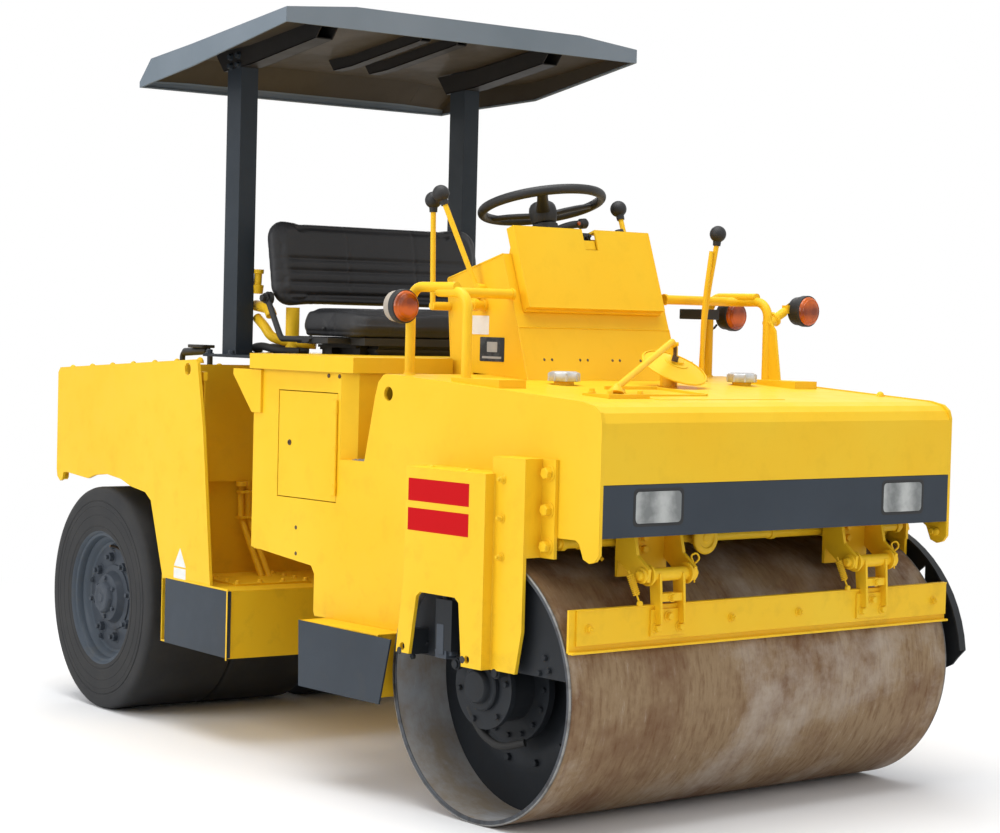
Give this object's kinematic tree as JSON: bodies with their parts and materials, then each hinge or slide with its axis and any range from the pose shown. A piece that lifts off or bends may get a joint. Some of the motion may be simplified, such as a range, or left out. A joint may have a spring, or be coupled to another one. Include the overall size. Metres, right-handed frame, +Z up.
{
  "type": "articulated road roller",
  "caption": "Ride-on articulated road roller with a smooth steel drum in front, twin rubber tyres behind, an open seat and a small roof.",
  "frame": {"origin": "on the ground, half way along and across the machine", "axes": "+X towards the drum at the front, +Y to its left, +Z up"},
  "size_m": [2.7948, 1.5186, 2.1569],
  "materials": {
    "yellow_paint": "glossy machine paint",
    "grey_paint": "satin dark grey paint",
    "drum_steel": "worn rolled steel, lightly rusted",
    "bright_steel": "ground",
    "black_plastic": "moulded",
    "black_vinyl": "coated cloth",
    "lamp_glass": "ribbed",
    "amber_lamp": "ribbed lens",
    "tyre_rubber": "smooth tread",
    "black_rubber": "hose cover",
    "cast_iron": "as cast"
  },
  "bodies": {
    "front_frame": {"canopy_posts": "grey_paint", "canopy_roof": "grey_paint", "chassis": "grey_paint", "console": "yellow_paint", "deck": "yellow_paint", "drum_guard": "black_plastic", "drum_hubs": "grey_paint", "drum_legs": "yellow_paint", "fascia_band": "grey_paint", "filler_caps": "grey_paint", "front_side_plates": "yellow_paint", "front_step_panels": "grey_paint", "front_step_trays": "yellow_paint", "hand_rails": "yellow_paint", "headlights": "lamp_glass", "hood_shell": "yellow_paint", "levers": "yellow_paint", "pivot_pin": "bright_steel", "scraper_brackets": "yellow_paint", "seat_back": "black_vinyl", "seat_box": "yellow_paint", "seat_cushion": "black_vinyl", "seat_frame": "black_plastic", "spray_tube": "yellow_paint", "steering_column": "black_plastic", "tank_cap": "yellow_paint", "turn_lamps": "amber_lamp"},
    "drum": {"drum": "drum_steel"},
    "scraper": {"scraper": "yellow_paint"},
    "dash_lid": {"dash_lid": "yellow_paint"},
    "steering_wheel": {"steering_wheel": "black_plastic"},
    "left_door": {"box_door_left": "yellow_paint"},
    "right_door": {"box_door_right": "yellow_paint"},
    "rear_frame": {"rear_side_plates": "yellow_paint", "rear_body": "yellow_paint", "rear_chassis": "yellow_paint", "rear_step_panels": "grey_paint", "rear_pipes": "black_rubber", "engine_block": "cast_iron"},
    "engine_hood": {"engine_hood": "yellow_paint", "hood_handle": "grey_paint"},
    "left_wheels": {"tyres_left": "tyre_rubber", "wheels_left": "grey_paint"},
    "right_wheels": {"tyres_right": "tyre_rubber", "wheels_right": "grey_paint"},
    "steering_barrel": {"steering_barrel": "grey_paint"},
    "steering_rod": {"steering_rod": "bright_steel"}
  },
  "joints": [
    {"name": "drum_spin", "type": "hinge", "parent": "front_frame", "child": "drum", "pos_m": [1.01439, -0.01431, 0.35], "axis": [0, 1, 0], "continuous": true},
    {"name": "articulation", "type": "hinge", "parent": "front_frame", "child": "rear_frame", "pos_m": [-0.06561, -0.01431, 0.36], "axis": [0, 0, 1], "range_deg": [-25, 35]},
    {"name": "left_wheels_spin", "type": "hinge", "parent": "rear_frame", "child": "left_wheels", "pos_m": [-0.9364, 0.41623, 0.355], "axis": [0.0872, 0.9962, 0], "continuous": true},
    {"name": "right_wheels_spin", "type": "hinge", "parent": "rear_frame", "child": "right_wheels", "pos_m": [-0.99793, -0.28709, 0.355], "axis": [0.0872, 0.9962, 0], "continuous": true},
    {"name": "steering_wheel_turn", "type": "hinge", "parent": "front_frame", "child": "steering_wheel", "pos_m": [0.40939, -0.01431, 1.606], "axis": [-0.2419, 0, 0.9703], "continuous": true},
    {"name": "steering_barrel_swing", "type": "hinge", "parent": "rear_frame", "child": "steering_barrel", "pos_m": [-0.45525, 0.35104, 0.54], "axis": [0, 0, 1], "range_deg": [-12, 12]},
    {"name": "steering_rod_slide", "type": "slide", "parent": "steering_barrel", "child": "steering_rod", "axis": [0.95, -0.3122, 0], "range_m": [-0.13, 0.13]},
    {"name": "dash_lid_hinge", "type": "hinge", "parent": "front_frame", "child": "dash_lid", "pos_m": [0.64234, -0.01431, 1.30236], "axis": [0, 1, 0], "range_deg": [0, 100]},
    {"name": "engine_hood_hinge", "type": "hinge", "parent": "rear_frame", "child": "engine_hood", "pos_m": [-1.32928, 0.09625, 1.066], "axis": [-0.0872, -0.9962, 0], "range_deg": [0, 70]},
    {"name": "left_door_hinge", "type": "hinge", "parent": "front_frame", "child": "left_door", "pos_m": [0.32739, 0.63999, 0.9], "axis": [0, 0, -1], "range_deg": [0, 110]},
    {"name": "right_door_hinge", "type": "hinge", "parent": "front_frame", "child": "right_door", "pos_m": [0.32739, -0.66861, 0.9], "axis": [0, 0, 1], "range_deg": [0, 110]},
    {"name": "scraper_fold", "type": "hinge", "parent": "front_frame", "child": "scraper", "pos_m": [1.35639, -0.01431, 0.652], "axis": [0, -1, 0], "range_deg": [0, 100]}
  ],
  "couplings": [
    {"joint": "steering_barrel_swing", "follows": "articulation", "ratio": -0.266},
    {"joint": "steering_rod_slide", "follows": "articulation", "m_per_rad": 0.20773}
  ]
}
